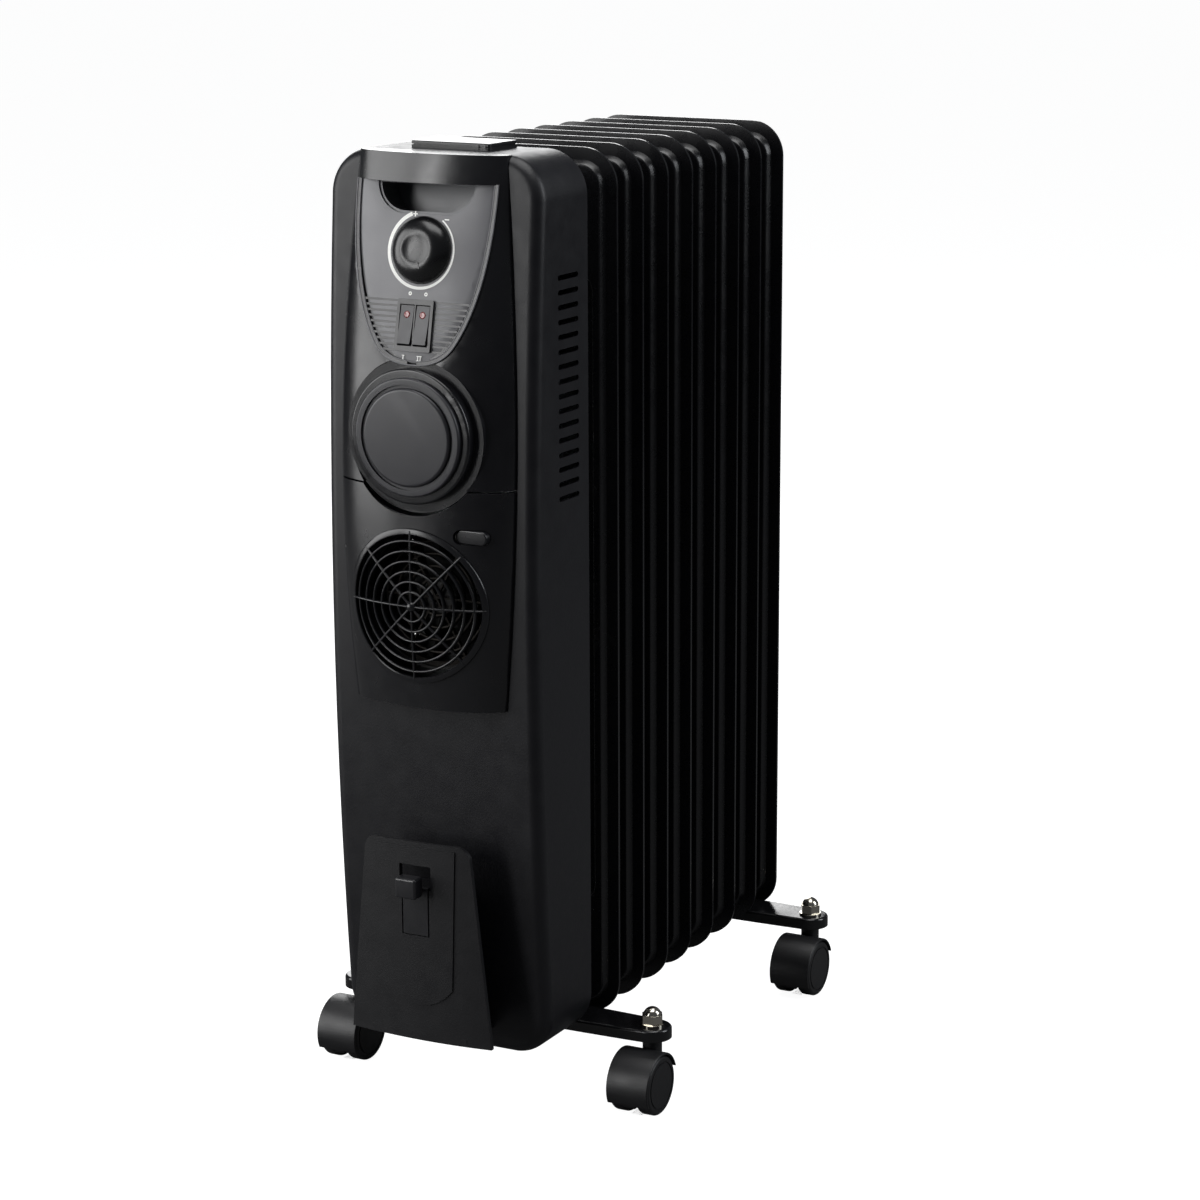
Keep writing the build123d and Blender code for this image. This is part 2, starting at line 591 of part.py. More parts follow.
clip_half = 9.2
slit = 0.9
window_top = tidy_top - 15.0
window_low = window_top - 16.0
tongue_root = tidy_low + 71.0
opening = block(2 * (clip_half + slit), y_plate - 5, y_plate + 15, tongue_root, window_low)
opening += block(23.0, y_plate - 5, y_plate + 15, window_low, window_top)
cord_tidy -= opening
tongue = block(2 * clip_half, y_plate - 5, y_plate + 15, tongue_root + moving_gap, window_low + 1.5)
tongue &= curve + skin
post = block(8.0, y_plate - 4, y_plate + 1.5, window_low - 1.0, window_low + 5.5)
face_y = y_plate - clip_reach
head = block(15.0, face_y, y_plate - 3.5, window_low - 3.0, window_low + 10.5)
cord_clip = tongue + post + fillet(head.edges(), 1.6)

# ---- cover pad on the casing's top --------------------------------------------------------
pad_y = y_rear - 20.0
pad_frame = extrude(Pos(0, pad_y, z_top) * RectangleRounded(57, 35, 2), 2.0)
pad = extrude(Pos(0, pad_y, z_top + 2.0) * RectangleRounded(55.6, 33.6, 2), 0.6)
pad_top = extrude(Pos(0, pad_y, z_top + 2.6) * RectangleRounded(57, 35, 2), 1.9)
pad_top = fillet(pad_top.faces().sort_by(Axis.Z)[-1].edges(), 0.8)
top_cover = pad_frame + pad + pad_top
for x in (20.0, 25.0):
    top_cover += block(1.4, pad_y - 18.1, pad_y - 16, z_top + 0.5, z_top + 3.8, x)

# ---- tip-over switch ----------------------------------------------------------------------
tip_z = casing_bottom + 110.0
tip_x = -34.0
tip_y = y_shield - shield_thickness
tip_body = block(26.0, tip_y - 16.0, tip_y, tip_z - 20, tip_z + 16, tip_x)
tip_body -= block(22.0, tip_y - 17.0, tip_y - 2.0, tip_z - 18, tip_z + 8, tip_x)
tip_axis_z = tip_z + 5.0
tip_pin = rod(1.5, tip_y - 12.0, tip_y - 1.5, tip_axis_z, tip_x)
tip_switch_body = tip_body + tip_pin
tip_pendulum = rod(3.0, tip_y - 11.0, tip_y - 3.0, tip_axis_z, tip_x)
tip_pendulum += block(2.0, tip_y - 9.0, tip_y - 5.0, tip_z - 9, tip_axis_z - 1, tip_x)
tip_pendulum += rod(4.5, tip_y - 11.0, tip_y - 3.0, tip_z - 10.5, tip_x)
tip_pendulum -= rod(1.5 + running_fit, tip_y - 13.0, tip_y, tip_axis_z, tip_x)

thermal_cutout = rod(8.0, tip_y - 7.0, tip_y, z_high - 40, 24.0)
thermal_cutout += block(24.0, tip_y - 1.2, tip_y, z_high - 44, z_high - 36, 24.0)
for side in (-1, 1):
    thermal_cutout += block(0.8, tip_y - 15.0, tip_y - 6.5, z_high - 43, z_high - 37, 24.0 + side * 4)

# ---- cord gland ---------------------------------------------------------------------------
gland_bore = 3.6
flange_disc = Pos(0, 0, 1.25) * Cylinder(11.0, 2.5)
sleeve = Pos(0, 0, -3.0) * Cylinder(7.4, 8.0)
nut = Pos(0, 0, -casing_wall - 4.0) * extrude(RegularPolygon(10.0, 6), 4.0)
cord_gland = gland_axis * (fillet(flange_disc.edges().sort_by(Axis.Z)[-1], 1.0) + sleeve + nut - Cylinder(gland_bore, 40))

# ---- fasteners on the headers and shield --------------------------------------------------
ring_nuts = []
for z in (z_low, z_high):
    face = y_shield - shield_thickness
    nut = extrude(at_height(z, face) * RegularPolygon(21.0, 6), 4.5) - rod(header_radius - 2.45, face - 10, face + 5, z)
    ring_nuts.append(nut)
header_nuts = group(ring_nuts)

screws = []
for x in (-lug_x, lug_x):
    for z in lug_z:
        head = rod(3.4, y_shield, y_shield + 2.2, z, x)
        head = fillet(head.faces().sort_by(Axis.Y)[-1].edges(), 1.0)
        head -= Pos(x, y_shield + 2.2, z) * Box(4.6, 1.6, 0.9)
        head -= Pos(x, y_shield + 2.2, z) * Box(0.9, 1.6, 4.6)
        screws.append(head + rod(1.6, y_shield - 9.0, y_shield + 0.5, z, x))
casing_screws = group(screws)

# ---- foot brackets ------------------------------------------------------------------------
bracket_half = section_pitch / 2 - 2.3
bolt_radius = 2.9
bolt_x = header_radius + 0.3 + bolt_radius


def bow_outline(inset):
    """Long plate outline, a little wider in the middle, with round ends."""
    tip = castor_spread + bracket_round - inset
    end = bracket_round - inset
    mid = bracket_half - inset
    s = castor_spread
    edges = [ThreePointArc((-s, end), (0, mid), (s, end)), ThreePointArc((s, end), (tip, 0), (s, -end)),
             ThreePointArc((s, -end), (0, -mid), (-s, -end)), ThreePointArc((-s, -end), (-tip, 0), (-s, end))]
    return make_face(edges)


def foot_bracket(y):
    """Dished plate with a turned-down edge and a saddle that carries the header."""
    body = Pos(0, y, z_plate - bracket_drop) * extrude(bow_outline(0.0), bracket_drop)
    body = fillet(body.faces().sort_by(Axis.Z)[-1].edges(), 2.0)
    body -= Pos(0, y, z_plate - bracket_drop - 1) * extrude(bow_outline(bracket_sheet), bracket_drop + 1 - bracket_sheet)
    saddle = block(26.0, y - 7.0, y + 7.0, z_plate - 0.5, z_low - header_radius + 5.0)
    saddle -= rod(header_radius + 0.02, y - 20, y + 20, z_low)
    saddle -= block(18.0, y - 5.0, y + 5.0, z_plate, z_low - header_radius - 4.0)
    body += saddle
    for side in (-1, 1):
        body -= Pos(side * castor_spread, y, z_plate) * Cylinder(4.1, 20)
        body -= Pos(side * bolt_x, y, z_plate) * Cylinder(bolt_radius + 0.3, 20)
    return body


def u_bolt(y):
    foot = z_under - 10.0
    path = Line((bolt_x, y, foot), (bolt_x, y, z_low))
    path += ThreePointArc((bolt_x, y, z_low), (0, y, z_low + bolt_x), (-bolt_x, y, z_low))
    path += Line((-bolt_x, y, z_low), (-bolt_x, y, foot))
    return sweep(Plane(origin=(bolt_x, y, foot), z_dir=(0, 0, 1)) * Circle(bolt_radius), path)


def wing_nut(x, y):
    body = Pos(x, y, z_under - 7.0) * extrude(Circle(5.5), 7.0)
    for side in (-1, 1):
        wing = Pos(x + side * 8.0, y, z_under - 8.5) * Rot(0, -side * 20, 0) * Box(9.0, 1.8, 10.0)
        body += wing
    body &= block(60.0, y - 10, y + 10, z_under - 15, z_under, x)
    return body - Pos(x, y, z_under) * Cylinder(bolt_radius + 0.02, 40)


u_bolts = group([u_bolt(y) for y in y_feet])
wing_nuts = group([wing_nut(side * bolt_x, y) for y in y_feet for side in (-1, 1)])

# ---- castors ------------------------------------------------------------------------------
castor_sites = [("front_left", -castor_spread, y_feet[0]), ("front_right", castor_spread, y_feet[0]),
                ("rear_left", -castor_spread, y_feet[1]), ("rear_right", castor_spread, y_feet[1])]
hood_inner = wheel_radius + 0.8
hood_outer = hood_inner + 1.4
hood_half = web_half + moving_gap + wheel_width + 0.4
neck_top = z_plate - bracket_drop - 1.5
pin_radius = 2.5
axle_radius = 3.0


def upright(x, y, z_bottom, z_head, radius):
    return Pos(x, y, z_bottom) * extrude(Circle(radius), z_head - z_bottom)


def across(x, y, z, half, radius):
    return Pos(x, y, z) * Rot(0, 90, 0) * Cylinder(radius, 2 * half)


def castor_stem(x, y):
    """Threaded stem: pin in the hood, collar under the bracket, thread through the plate."""
    body = upright(x, y, neck_top - 16.0, neck_top + moving_gap, pin_radius)
    body += upright(x, y, neck_top + moving_gap, z_under, 5.6)
    return body + upright(x, y, z_under - 0.5, z_plate + 9.0, 4.0)


def castor_hood(x, y):
    """Twin-wheel castor hood: shell over both wheels, middle web, neck and stub axles."""
    ya = y - castor_trail
    z = wheel_radius
    shell = across(x, ya, z, hood_half, hood_outer)
    shell = fillet(shell.edges().filter_by(GeomType.CIRCLE), 0.8)
    neck = upright(x, y, z + 8, neck_top, 6.5)
    room = across(x, ya, z, hood_half + 5, hood_inner)
    body = (shell + neck) - room
    body -= block(60.0, ya - 40, ya, -10, z - hood_outer * sin(radians(25)), x)
    body -= block(60.0, ya, ya + 40, -10, z + hood_outer * sin(radians(20)), x) - upright(x, y, 0, neck_top, 6.5)
    web = across(x, ya, z, web_half, hood_inner + 0.3) - block(60.0, ya - 40, ya + 40, 0, z - 12, x)
    body += web
    body += across(x, ya, z, hood_half - 2.5, axle_radius)
    return body - upright(x, y, neck_top - 16.5, neck_top + 1, pin_radius + running_fit)


def wheel(x, y, side):
    """Solid tyre and hub in one moulding with a ringed outer face and a blind bore."""
    near = web_half + moving_gap
    half = wheel_width / 2
    middle = x + side * (near + half)
    ya = y - castor_trail
    body = across(middle, ya, wheel_radius, half, wheel_radius)
    body = fillet(body.edges().filter_by(GeomType.CIRCLE), 2.4)
    outer = x + side * (near + wheel_width)
    ring = across(outer, ya, wheel_radius, 0.6, 16.2) - across(outer, ya, wheel_radius, 1.0, 15.0)
    body -= ring
    depth = hood_half - 2.5 + moving_gap - near
    bore = across(x + side * (near + depth / 2), ya, wheel_radius, depth / 2, axle_radius + running_fit)
    return body - bore


def cap_nut(x, y):
    base = z_plate + 1.6
    body = Pos(x, y, base) * extrude(RegularPolygon(7.5, 6), 6.2)
    dome = Pos(x, y, base + 5.0) * Sphere(6.2)
    body += dome - block(20, y - 10, y + 10, base - 10, base + 5.0, x)
    return body - upright(x, y, base - 1, z_plate + 9.3, 4.02)


castor_stems = group([castor_stem(x, y) for _, x, y in castor_sites])
stem_washers = group([upright(x, y, z_plate, z_plate + 1.6, 8.0) - upright(x, y, z_plate - 1, z_plate + 3, 4.05)
                      for _, x, y in castor_sites])
cap_nuts = group([cap_nut(x, y) for _, x, y in castor_sites])

# ---- save every piece ---------------------------------------------------------------------
os.makedirs("parts", exist_ok=True)
for index in range(section_count):
    shape = plain_section
    if index == 0:
        shape = first_section
    elif index == section_count - 1:
        shape = last_section
    save(Pos(0, section_y(index), 0) * shape, "section_%d" % (index + 1))

pieces = {
    "heating_element": heating_element(), "casing": casing, "heat_shield": heat_shield,
    "carrier_panel": carrier_panel, "upper_fascia": upper_fascia, "handle_cup": handle_cup,
    "plaque": plaque, "knob": knob, "thermostat_shaft": thermostat_shaft,
    "thermostat_body": thermostat_body, "switch_body": switch_body, "rocker_left": rocker_left,
    "rocker_right": rocker_right, "lamp_left": lamps[0], "lamp_right": lamps[1],
    "timer_blank": timer_blank, "lower_fascia": lower_fascia, "fan_grille": fan_grille,
    "fan_button": fan_button, "fan_duct": fan_duct, "coil_heater": coil_heater,
    "impeller": impeller, "fan_motor": fan_motor, "cord_tidy": cord_tidy, "cord_clip": cord_clip,
    "top_cover": top_cover, "tip_switch_body": tip_switch_body, "tip_pendulum": tip_pendulum,
    "thermal_cutout": thermal_cutout, "cord_gland": cord_gland, "header_nuts": header_nuts,
    "casing_screws": casing_screws, "u_bolts": u_bolts, "wing_nuts": wing_nuts,
    "castor_stems": castor_stems, "stem_washers": stem_washers, "cap_nuts": cap_nuts,
    "foot_bracket_front": foot_bracket(y_feet[0]), "foot_bracket_rear": foot_bracket(y_feet[1]),
}
for site, x, y in castor_sites:
    pieces["castor_hood_" + site] = castor_hood(x, y)
    pieces["wheel_" + site + "_inner"] = wheel(x, y, -1 if x > 0 else 1)
    pieces["wheel_" + site + "_outer"] = wheel(x, y, 1 if x > 0 else -1)
for node, shape in pieces.items():
    save(shape, node)
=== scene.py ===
import json
from math import cos, pi, radians, sin, sqrt

import bmesh
import bpy
from mathutils import Matrix, Vector


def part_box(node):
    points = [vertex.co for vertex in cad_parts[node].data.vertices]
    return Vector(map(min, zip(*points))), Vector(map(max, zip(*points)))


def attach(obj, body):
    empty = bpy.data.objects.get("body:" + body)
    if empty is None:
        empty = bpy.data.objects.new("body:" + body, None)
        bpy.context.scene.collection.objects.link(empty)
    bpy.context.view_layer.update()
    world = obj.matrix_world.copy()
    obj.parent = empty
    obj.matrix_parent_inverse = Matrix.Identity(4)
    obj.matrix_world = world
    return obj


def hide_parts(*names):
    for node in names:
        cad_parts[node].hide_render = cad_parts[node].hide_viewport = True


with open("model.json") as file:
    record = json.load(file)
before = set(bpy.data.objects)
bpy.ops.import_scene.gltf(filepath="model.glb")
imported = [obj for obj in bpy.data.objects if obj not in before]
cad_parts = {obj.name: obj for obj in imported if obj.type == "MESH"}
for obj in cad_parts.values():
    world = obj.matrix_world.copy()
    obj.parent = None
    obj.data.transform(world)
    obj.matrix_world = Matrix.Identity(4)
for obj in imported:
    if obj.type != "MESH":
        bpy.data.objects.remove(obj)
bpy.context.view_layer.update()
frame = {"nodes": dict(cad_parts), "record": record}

MM = 0.001


# ---- material tools -------------------------------------------------------------------------
DRIFT_MM = 45.0         # how far apart the colour drifts
SMEAR_MM = 12.0         # how far apart the gloss changes
WAVE_DEPTH = 0.002
GRAIN_DEPTH = 0.0004


def linear(code):
    """sRGB hex to the linear colour that shaders take."""
    parts = [int(code[i:i + 2], 16) / 255 for i in (1, 3, 5)]
    return [c / 12.92 if c <= 0.04045 else ((c + 0.055) / 1.055) ** 2.4 for c in parts] + [1.0]


def add(tree, kind, settings=None, links=None):
    """Adds one node, sets its properties and sockets, and links its inputs."""
    node = tree.nodes.new(kind)
    for key, value in (settings or {}).items():
        if isinstance(key, str) and hasattr(node, key):
            setattr(node, key, value)
        else:
            node.inputs[key].default_value = value
    for key, source in (links or {}).items():
        tree.links.new(source, node.inputs[key])
    return node


def start(name):
    """A new material with an empty tree."""
    material = bpy.data.materials.new(name)
    material.use_nodes = True
    tree = material.node_tree
    tree.nodes.clear()
    return material, tree


def moulded(name, colour, rough, grain_mm=0.0, grain=0.0, wave_mm=60.0, wave=0.0, metallic=0.0,
            ior=1.5, spread=0.04, tint=0.15):
    """A moulded, painted or metal finish: faint colour drift, uneven gloss, fine grain and a slow wave."""
    material, tree = start(name)
    place = add(tree, "ShaderNodeTexCoord").outputs["Object"]
    drift = add(tree, "ShaderNodeTexNoise", {"Scale": 1000 / DRIFT_MM, "Detail": 3.0}, {"Vector": place})
    base = linear(colour)
    darker = [c * (1 - tint) for c in base[:3]] + [1.0]
    paint = add(tree, "ShaderNodeMix", {"data_type": "RGBA", 6: base, 7: darker}, {0: drift.outputs["Fac"]})
    smear = add(tree, "ShaderNodeTexNoise", {"Scale": 1000 / SMEAR_MM, "Detail": 4.0}, {"Vector": place})
    gloss = add(tree, "ShaderNodeMapRange",
                {"From Min": 0.3, "From Max": 0.7, "To Min": max(rough - spread, 0.02),
                 "To Max": rough + spread},
                {"Value": smear.outputs["Fac"]})
    shader = add(tree, "ShaderNodeBsdfPrincipled", {"Metallic": metallic},
                 {"Base Color": paint.outputs[2], "Roughness": gloss.outputs["Result"]})
    if not metallic:
        shader.inputs["IOR"].default_value = ior
    normal = None
    if wave:
        slow = add(tree, "ShaderNodeTexNoise", {"Scale": 1000 / wave_mm, "Detail": 1.0}, {"Vector": place})
        bump = add(tree, "ShaderNodeBump", {"Strength": wave, "Distance": WAVE_DEPTH},
                   {"Height": slow.outputs["Fac"]})
        normal = bump.outputs["Normal"]
    if grain:
        fine = add(tree, "ShaderNodeTexNoise", {"Scale": 1000 / grain_mm, "Detail": 2.0}, {"Vector": place})
        bump = add(tree, "ShaderNodeBump", {"Strength": grain, "Distance": GRAIN_DEPTH},
                   {"Height": fine.outputs["Fac"]})
        if normal:
            tree.links.new(normal, bump.inputs["Normal"])
        normal = bump.outputs["Normal"]
    if normal:
        tree.links.new(normal, shader.inputs["Normal"])
    add(tree, "ShaderNodeOutputMaterial", links={"Surface": shader.outputs["BSDF"]})
    return material


# Powder-coated steel: satin black with the orange peel that baked powder leaves.
casing_paint = moulded("powder_coated_steel", "#101014", 0.42, grain_mm=1.3, grain=0.16,
                       wave_mm=90, wave=0.03, ior=1.4)
# Stoved enamel on pressed steel: deeper gloss than the casing, a little uneven from the dip.
section_paint = moulded("stoved_enamel", "#0e0e11", 0.28, grain_mm=3.0, grain=0.04, wave_mm=70, wave=0.10)
# Gloss ABS: near-black, with soft-edged highlights and hardly any texture, on fascia, grille and button.
gloss_abs = moulded("gloss_abs", "#111114", 0.25, grain_mm=5.0, grain=0.02, spread=0.03)
# Spark-eroded satin ABS: the graphite control shield, even and soft.
graphite_abs = moulded("graphite_satin_abs", "#646467", 0.42, grain_mm=0.9, grain=0.15, tint=0.06)
# The same satin ABS in the finger cup, a shade darker as painted shade, so the recess stays quiet.
cup_abs_painted_shade = moulded("cup_satin_abs_painted_shade", "#5c5d60", 0.38, grain_mm=0.9, grain=0.12)
# Satin black ABS: a soft sheen over a fine grain, on the switch frame and the top cover. On the shield's
# groove strip and slots it is painted shade.
satin_abs_and_groove_shade = moulded("satin_abs_and_groove_shade", "#141416", 0.30, grain_mm=1.2, grain=0.08)
# Dark grey satin ABS: a broad dull highlight, on the round blank and the rockers.
disc_abs = moulded("disc_satin_abs", "#26262a", 0.36, grain_mm=1.0, grain=0.06)
# Polished-satin ABS of the dial: dark, with one soft rounded highlight.
dial_abs = moulded("dial_satin_abs", "#0d0d0f", 0.26, grain_mm=1.2, grain=0.03)
# Handled ABS of the tidy's clip: slightly glossier than the plate behind it.
clip_abs = moulded("clip_abs", "#1a1a1d", 0.32, grain_mm=0.8, grain=0.12)
# Spark-eroded ABS: dry and matt with a visible grain, on the cord tidy and inner boxes.
soft_abs = moulded("eroded_abs", "#0f0f12", 0.45, grain_mm=0.8, grain=0.25, ior=1.4)
# Injection-moulded nylon: matt black with a dry sheen.
castor_nylon = moulded("castor_nylon", "#0c0c0f", 0.46, grain_mm=1.0, grain=0.2)
# Polished nickel plate: warm, bright, slightly hazed.
nickel = moulded("nickel_plate", "#c9c4b8", 0.16, metallic=1.0, spread=0.05, grain_mm=2.0, grain=0.05)
# Zinc plate: cool grey metal with a cloudy gloss, on bolts, nuts and screws.
zinc = moulded("zinc_plate", "#b4b6b8", 0.32, metallic=1.0, grain_mm=2.0, grain=0.15)
# Galvanised sheet: dull metal with a large spangle, inside the casing.
galvanised = moulded("galvanised_sheet", "#9b9ea0", 0.40, metallic=1.0, grain_mm=9.0, grain=0.2)
# Stoved enamel on the foot brackets: near-black gloss with slight orange peel.
bracket_paint = moulded("bracket_enamel", "#0c0c0e", 0.22, grain_mm=2.5, grain=0.12)
# Glass-filled nylon of the fan duct: matt black. On the disc behind the motor and on the motor itself it is
# painted shade, so the inside stays dark.
duct_plastic_and_inner_shade = moulded("duct_plastic_and_inner_shade", "#0f0f0f", 0.5, grain_mm=1.0, grain=0.2)
# Moulded nylon of the fan blades: dark with a faint sheen.
fan_plastic = moulded("fan_plastic", "#121212", 0.45, grain_mm=1.0, grain=0.1)
# Oxidised heating wire: dark brown-grey metal, dull.
wire = moulded("heating_wire", "#2c2a28", 0.45, metallic=1.0, grain_mm=0.8, grain=0.3)


def lamp_material():
    """Red polycarbonate lens: clear, with a faint glow from the lamp behind it."""
    material, tree = start("red_lens")
    place = add(tree, "ShaderNodeTexCoord").outputs["Object"]
    ripple = add(tree, "ShaderNodeTexNoise", {"Scale": 900.0}, {"Vector": place})
    bump = add(tree, "ShaderNodeBump", {"Strength": 0.2, "Distance": 0.0003},
               {"Height": ripple.outputs["Fac"]})
    shader = add(tree, "ShaderNodeBsdfPrincipled",
                 {"Base Color": linear("#5c0f12"), "Roughness": 0.12, "IOR": 1.58,
                  "Emission Color": linear("#ff2018"), "Emission Strength": 0.05},
                 {"Normal": bump.outputs["Normal"]})
    add(tree, "ShaderNodeOutputMaterial", links={"Surface": shader.outputs["BSDF"]})
    return material


red_lens = lamp_material()


# ---- pieces from the model ------------------------------------------------------------------
CREASE = radians(32)    # an edge that turns more than this stays crisp


def body_of(node):
    """The body that a node rides on."""
    for body, nodes in frame["record"]["behaviour"]["bodies"].items():
        if node in nodes:
            return body
    return None


def refined(node, material, bevel=0.0):
    """A clean copy of a piece: merged, with smooth curves, crisp creases and eased edges."""
    source = frame["nodes"][node]
    mesh = source.data.copy()
    mesh.name = node + "_finish"
    work = bmesh.new()
    work.from_mesh(mesh)
    bmesh.ops.transform(work, matrix=source.matrix_world, verts=work.verts)
    bmesh.ops.remove_doubles(work, verts=work.verts, dist=2e-6)
    for face in work.faces:
        face.smooth = True
    for edge in work.edges:
        edge.smooth = len(edge.link_faces) == 2 and edge.calc_face_angle(0.0) < CREASE
    work.to_mesh(mesh)
    work.free()
    mesh.materials.clear()
    mesh.materials.append(material)
    piece = bpy.data.objects.new(node + "_finish", mesh)
    bpy.context.collection.objects.link(piece)
    if bevel:
        easing = piece.modifiers.new("easing", "BEVEL")
        easing.width = bevel
        easing.segments = 2
        easing.limit_method = "ANGLE"
        easing.angle_limit = CREASE
        easing.harden_normals = True
        easing.use_clamp_overlap = True
    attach(piece, body_of(node))
    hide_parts(node)


# ---- geometry tools -------------------------------------------------------------------------
def tree_with(name, sizes):
    """A geometry tree with named inputs. Returns the tree, its input node and the inputs' identifiers."""
    tree = bpy.data.node_groups.new(name, "GeometryNodeTree")
    ports = {}
    for label, (kind, value) in sizes.items():
        item = tree.interface.new_socket(label, in_out="INPUT", socket_type="NodeSocket" + kind)
        if value is not None:
            item.default_value = value
        ports[label] = item.identifier
    tree.interface.new_socket("Geometry", in_out="OUTPUT", socket_type="NodeSocketGeometry")
    return tree, tree.nodes.new("NodeGroupInput").outputs, ports


def close_tree(tree, geometry, material):
    """Ends a tree: instances made real, finish set."""
    real = add(tree, "GeometryNodeRealizeInstances", links={"Geometry": geometry})
    painted = add(tree, "GeometryNodeSetMaterial", {"Material": material}, {"Geometry": real.outputs[0]})
    add(tree, "NodeGroupOutput", links={"Geometry": painted.outputs[0]})


def grown(name, tree, ports, values):
    """Runs a tree and keeps its result as a plain mesh object."""
    holder = bpy.data.objects.new(name, bpy.data.meshes.new(name + "_seed"))
    bpy.context.collection.objects.link(holder)
    maker = holder.modifiers.new(name, "NODES")
    maker.node_group = tree
    for label, value in values.items():
        maker[ports[label]] = value
    holder.update_tag()
    bpy.context.view_layer.update()
    shape = holder.evaluated_get(bpy.context.evaluated_depsgraph_get())
    mesh = bpy.data.meshes.new_from_object(shape)
    holder.modifiers.remove(maker)
    holder.data = mesh
    return holder


def mesh_piece(name, points, faces, material, body, smooth=False):
    """A piece from points in millimetres."""
    mesh = bpy.data.meshes.new(name)
    mesh.from_pydata([Vector(point) * MM for point in points], [], faces)
    mesh.materials.append(material)
    work = bmesh.new()
    work.from_mesh(mesh)
    bmesh.ops.remove_doubles(work, verts=work.verts, dist=1e-6)
    bmesh.ops.recalc_face_normals(work, faces=work.faces)
    for face in work.faces:
        face.smooth = smooth
    work.to_mesh(mesh)
    work.free()
    piece = bpy.data.objects.new(name, mesh)
    bpy.context.collection.objects.link(piece)
    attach(piece, body)
    return piece


# ---- the shield's leaning plane and the fascia's barrel front -------------------------------
plaque_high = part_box("plaque")[1]
LEAN = radians(11.6)        # of the shield, back from upright
SHIELD_TOP = plaque_high[2] / MM
SHIELD_Y = plaque_high[1] / MM
SHIELD_FACE = 1.2           # thickness of the shield


def on_shield(x, z, lift=0.0):
    """A point at width x and height z on the shield's plane, lifted off it, in millimetres."""
    along = (z - SHIELD_TOP) / cos(LEAN)
    return Vector((x, SHIELD_Y + along * sin(LEAN) - lift * cos(LEAN),
                   SHIELD_TOP + along * cos(LEAN) + lift * sin(LEAN)))


casing_low, casing_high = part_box("casing")
CROWN = casing_low[1] / MM
BASE = casing_low[2] / MM
TOP = casing_high[2] / MM
MIDDLE = (BASE + TOP) / 2
FAN_Z = BASE + 300.5        # fan's axis
SPLIT_Z = BASE + 375.5      # joint between the two fascia parts
BOW = 3241.0                # radius of the casing's bowed front
# The dark disc that paints shade into the duct stands just behind the fan motor.
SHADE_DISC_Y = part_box("fan_motor")[1][1] / MM + 1.0
SHADE_DISC_RADIUS = 48.0


def fascia_front(x, z):
    """Y of the fascia's barrel front, in millimetres."""
    t = (z - FAN_Z - 25) / (TOP - FAN_Z - 25)
    rise, dip = max(t, 0.0), min(t, 0.0)
    crown = CROWN - (22.5 - 15 * rise ** 1.5 - 7.5 * rise ** 8 - 35 * dip ** 2)
    s = (z - SPLIT_Z - 25) / (TOP - SPLIT_Z - 25)
    half = 152 * (0.412 - 0.068 * s ** 1.7) if s >= 0 else 152 * (0.412 - 0.046 * (s * 1.15) ** 2)
    edge = CROWN + BOW - sqrt(BOW ** 2 - (z - MIDDLE) ** 2) + 2.5
    share = min(abs(x) / half, 1.0)
    return crown + (edge - crown) * (1 - sqrt(1 - 0.97 * share ** 2))


